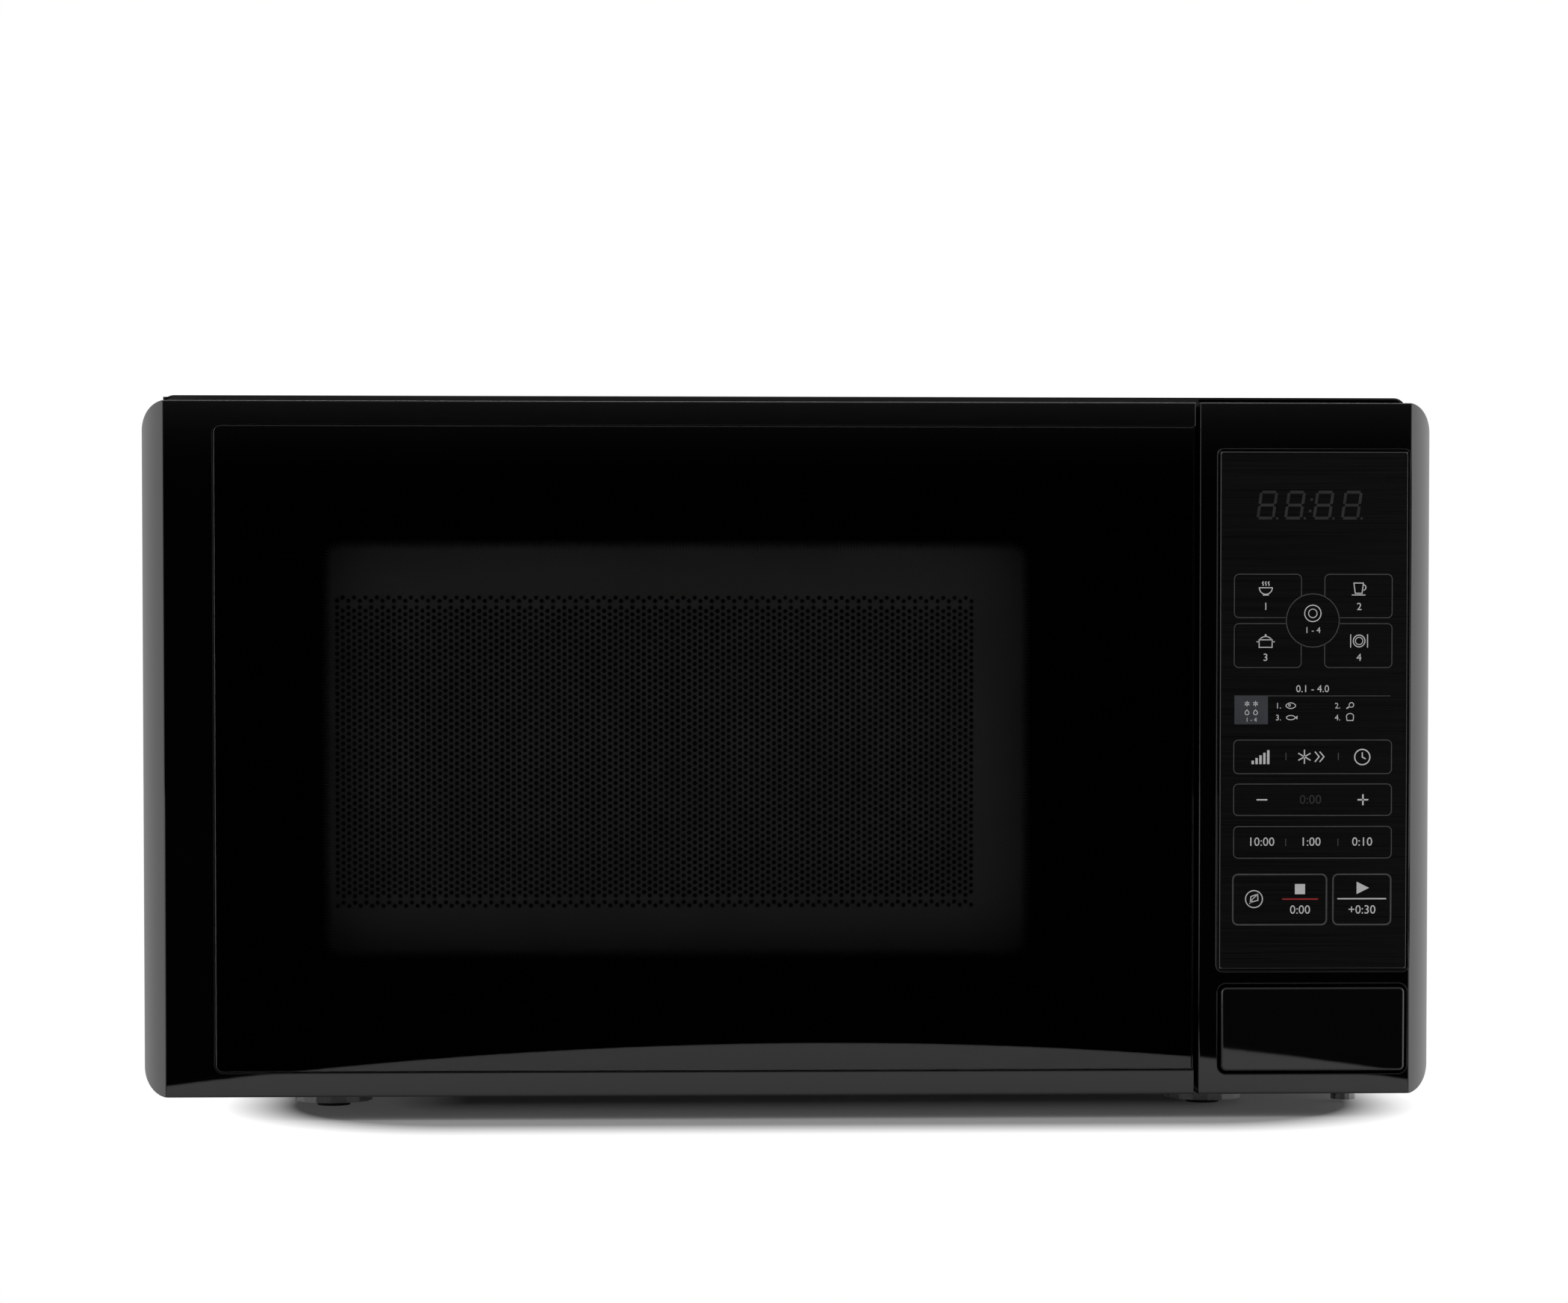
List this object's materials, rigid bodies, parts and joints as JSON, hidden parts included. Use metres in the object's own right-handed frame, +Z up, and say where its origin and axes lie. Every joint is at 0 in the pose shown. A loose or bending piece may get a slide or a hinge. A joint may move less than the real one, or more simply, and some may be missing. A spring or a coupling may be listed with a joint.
{
  "type": "microwave oven",
  "caption": "Compact black microwave oven: hinged glass door with a latch, membrane keypad panel, push-button door release, glass turntable on a roller ring, and power parts beside the oven.",
  "frame": {"origin": "centre of the bounding box on the table", "axes": "+X to the viewer's right along the front, +Y to the back, +Z up"},
  "size_m": [0.455, 0.336, 0.256],
  "materials": {
    "black_moulding": "polished black",
    "tinted_glass": "dark, polished",
    "screen_enamel": "satin black, perforated",
    "clear_glass": "clear",
    "black_plastic": "matt black",
    "white_plastic": "natural white",
    "keypad_print": "fine brushed black with pale print",
    "circuit_board": "tan laminate",
    "spring_steel": "bright",
    "cavity_enamel": "pale grey enamel",
    "cover_enamel": "satin black",
    "plated_sheet": "zinc plated",
    "mica": "flecked mica",
    "core_steel": "varnished",
    "aluminium_sheet": "plain",
    "copper_winding": "varnished copper",
    "black_moulded_resin": "moulded",
    "black_rubber": "matt"
  },
  "bodies": {
    "cabinet": {"control_panel": "black_moulding", "oven_lamp": "clear_glass", "display_module": "black_plastic", "door_switches": "black_plastic", "lamp_holder": "black_plastic", "fan_shroud": "black_plastic", "latch_board": "white_plastic", "board_components": "white_plastic", "keypad_film": "keypad_print", "keypad_membrane": "keypad_print", "control_board": "circuit_board", "filter_board": "circuit_board", "lever_spring": "spring_steel", "lower_hinge_pin": "spring_steel", "upper_hinge_pin": "spring_steel", "cover_screws": "spring_steel", "front_plate": "cavity_enamel", "oven_cavity": "cavity_enamel", "outer_cover": "cover_enamel", "base_plate": "plated_sheet", "back_plate": "plated_sheet", "lower_hinge_plate": "plated_sheet", "upper_hinge_plate": "plated_sheet", "waveguide": "plated_sheet", "magnetron_yoke": "plated_sheet", "magnetron_filter_box": "plated_sheet", "capacitor_clamp": "plated_sheet", "turntable_motor": "plated_sheet", "fan_motor": "plated_sheet", "waveguide_cover": "mica", "magnetron_core": "core_steel", "transformer_core": "core_steel", "magnetron_fins": "aluminium_sheet", "capacitor": "aluminium_sheet", "transformer_windings": "copper_winding", "high_voltage_diode": "black_moulded_resin", "thermal_cutouts": "black_moulded_resin", "feet": "black_rubber", "cord_gland": "black_rubber"},
    "door": {"door_frame": "black_moulding", "door_glass": "tinted_glass", "choke_frame": "screen_enamel", "door_screen": "screen_enamel", "inner_window": "clear_glass", "choke_cover": "black_plastic", "latch_guide": "black_plastic", "latch_spring": "spring_steel"},
    "door_latch": {"door_latch": "white_plastic"},
    "release_button": {"release_button": "black_moulding"},
    "release_lever": {"release_lever": "white_plastic"},
    "turntable": {"turntable_coupler": "white_plastic", "drive_shaft": "white_plastic"},
    "glass_tray": {"glass_tray": "clear_glass"},
    "roller_ring": {"roller_ring": "white_plastic"},
    "roller_1": {"roller_1": "white_plastic"},
    "roller_2": {"roller_2": "white_plastic"},
    "roller_3": {"roller_3": "white_plastic"},
    "fan": {"fan_blade": "white_plastic", "fan_shaft": "spring_steel"}
  },
  "joints": [
    {"name": "door_hinge", "type": "hinge", "parent": "cabinet", "child": "door", "pos_m": [-0.2172, -0.1465, 0.13], "axis": [0, 0, -1], "range_deg": [0, 100]},
    {"name": "release_button_slide", "type": "slide", "parent": "cabinet", "child": "release_button", "axis": [0, 1, 0], "range_m": [0, 0.005], "stiffness_N_per_m": 400, "springref_m": -0.004},
    {"name": "release_lever_pivot", "type": "hinge", "parent": "cabinet", "child": "release_lever", "pos_m": [0.141, -0.125, 0.057], "axis": [1, 0, 0], "range_deg": [0, 15.5], "deforming": ["lever_spring"]},
    {"name": "latch_slide", "type": "slide", "parent": "door", "child": "door_latch", "axis": [0, 0, 1], "range_m": [0, 0.0032], "deforming": ["latch_spring"]},
    {"name": "turntable_spin", "type": "hinge", "parent": "cabinet", "child": "turntable", "pos_m": [-0.046, 0.0117, 0.03], "axis": [0, 0, 1], "continuous": true},
    {"name": "tray_lift", "type": "slide", "parent": "turntable", "child": "glass_tray", "axis": [0, 0, 1], "range_m": [0, 0.06]},
    {"name": "roller_ring_spin", "type": "hinge", "parent": "cabinet", "child": "roller_ring", "pos_m": [-0.046, 0.0117, 0.034], "axis": [0, 0, 1], "continuous": true},
    {"name": "roller_1_spin", "type": "hinge", "parent": "roller_ring", "child": "roller_1", "pos_m": [-0.046, 0.1012, 0.034], "axis": [0, 1, 0], "continuous": true},
    {"name": "roller_2_spin", "type": "hinge", "parent": "roller_ring", "child": "roller_2", "pos_m": [-0.12351, -0.03305, 0.034], "axis": [-0.866, -0.5, 0], "continuous": true},
    {"name": "roller_3_spin", "type": "hinge", "parent": "roller_ring", "child": "roller_3", "pos_m": [0.03151, -0.03305, 0.034], "axis": [0.866, -0.5, 0], "continuous": true},
    {"name": "fan_spin", "type": "hinge", "parent": "cabinet", "child": "fan", "pos_m": [0.167, 0.13, 0.172], "axis": [0, -1, 0], "continuous": true}
  ],
  "couplings": [
    {"joint": "release_lever_pivot", "follows": "release_button_slide", "rad_per_m": 51.66},
    {"joint": "latch_slide", "follows": "release_button_slide", "ratio": 0.6},
    {"joint": "roller_ring_spin", "follows": "turntable_spin", "ratio": 0.5},
    {"joint": "roller_1_spin", "follows": "turntable_spin", "ratio": -6.5809},
    {"joint": "roller_2_spin", "follows": "turntable_spin", "ratio": -6.5809},
    {"joint": "roller_3_spin", "follows": "turntable_spin", "ratio": -6.5809}
  ]
}
